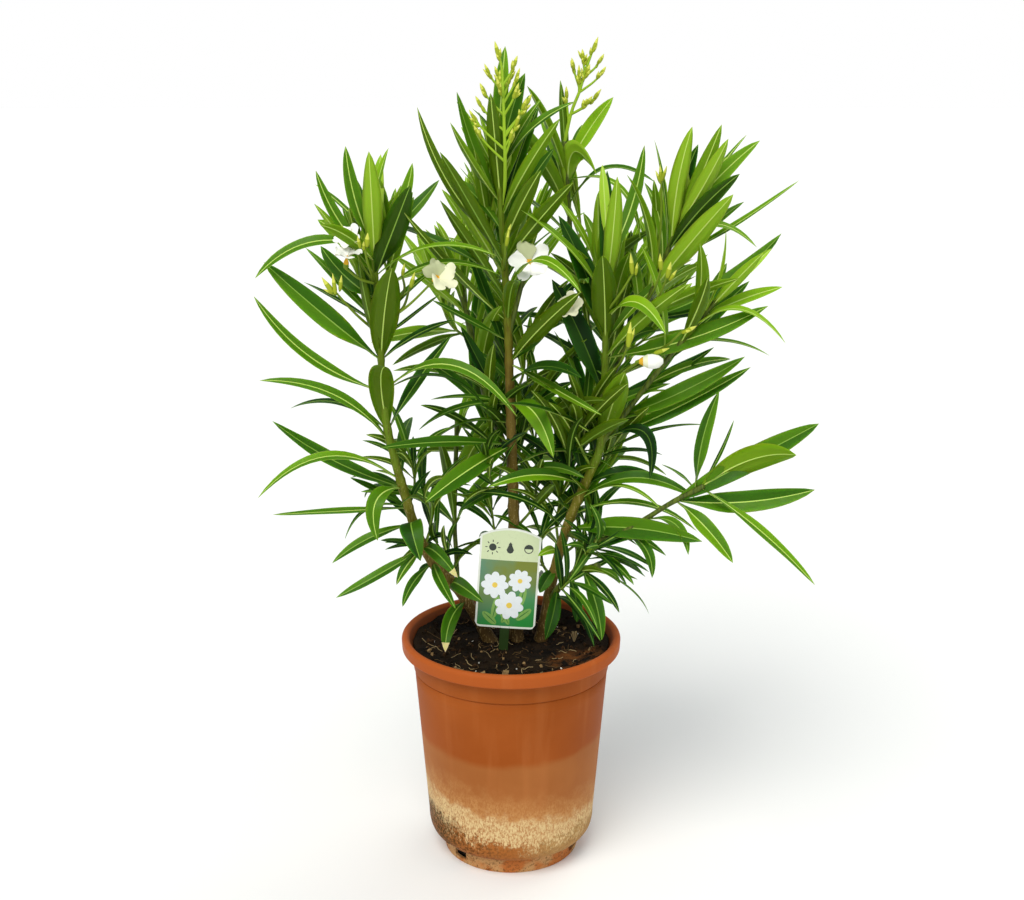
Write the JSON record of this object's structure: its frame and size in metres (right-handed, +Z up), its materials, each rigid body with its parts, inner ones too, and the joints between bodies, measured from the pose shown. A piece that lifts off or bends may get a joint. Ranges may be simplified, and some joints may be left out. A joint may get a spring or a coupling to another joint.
{
  "type": "potted oleander",
  "caption": "Oleander shrub with leaning woody stems, whorls of long narrow leaves, white flowers and bud spikes, in a round terracotta-coloured nursery pot with a plant label.",
  "frame": {"origin": "centre of the flat underside of the pot, on the surface it stands on", "axes": "+Z up, the front with the label faces -Y, +X to the right seen from the front"},
  "size_m": [0.5847, 0.3362, 0.8793],
  "materials": {
    "pot": "terracotta-coloured moulded plastic, slightly glossy, lime and algae stains low down",
    "soil": "dark moist potting compost with pale fibres and bark bits",
    "label": "thin glossy printed plastic, pale green with a painted flower sprig",
    "bark": "olive to brown young bark with pale lenticels",
    "leaf": "leathery leaves, dark to yellow-green, pale midrib",
    "blossom": "white petals and yellow-green buds"
  },
  "bodies": {
    "root": {"bough_back": "bark", "bough_back_left": "bark", "bough_back_right": "bark", "bough_cut_stub": "bark", "bough_low_left": "bark", "bough_low_right": "bark", "bough_right_outer": "bark", "bough_right_upper": "bark", "bough_second_head": "bark", "bough_side_shoot": "bark", "label": "label", "mass_back_head": "leaf", "mass_back_left": "leaf", "mass_back_right": "leaf", "mass_blossom_left": "blossom", "mass_blossom_right": "blossom", "mass_centre_head": "leaf", "mass_centre_middle": "leaf", "mass_left_droop": "leaf", "mass_left_fan_lower": "leaf", "mass_left_fan_middle": "leaf", "mass_left_fan_upper": "leaf", "mass_left_head": "leaf", "mass_low_back": "leaf", "mass_low_left": "leaf", "mass_low_right": "leaf", "mass_right_front": "leaf", "mass_right_low": "leaf", "mass_right_middle": "leaf", "mass_right_outer": "leaf", "mass_right_upper": "leaf", "mass_second_head": "leaf", "mass_side_shoot": "leaf", "pot": "pot", "soil": "soil", "stem_centre": "bark", "stem_left": "bark", "stem_right": "bark"}
  },
  "joints": []
}
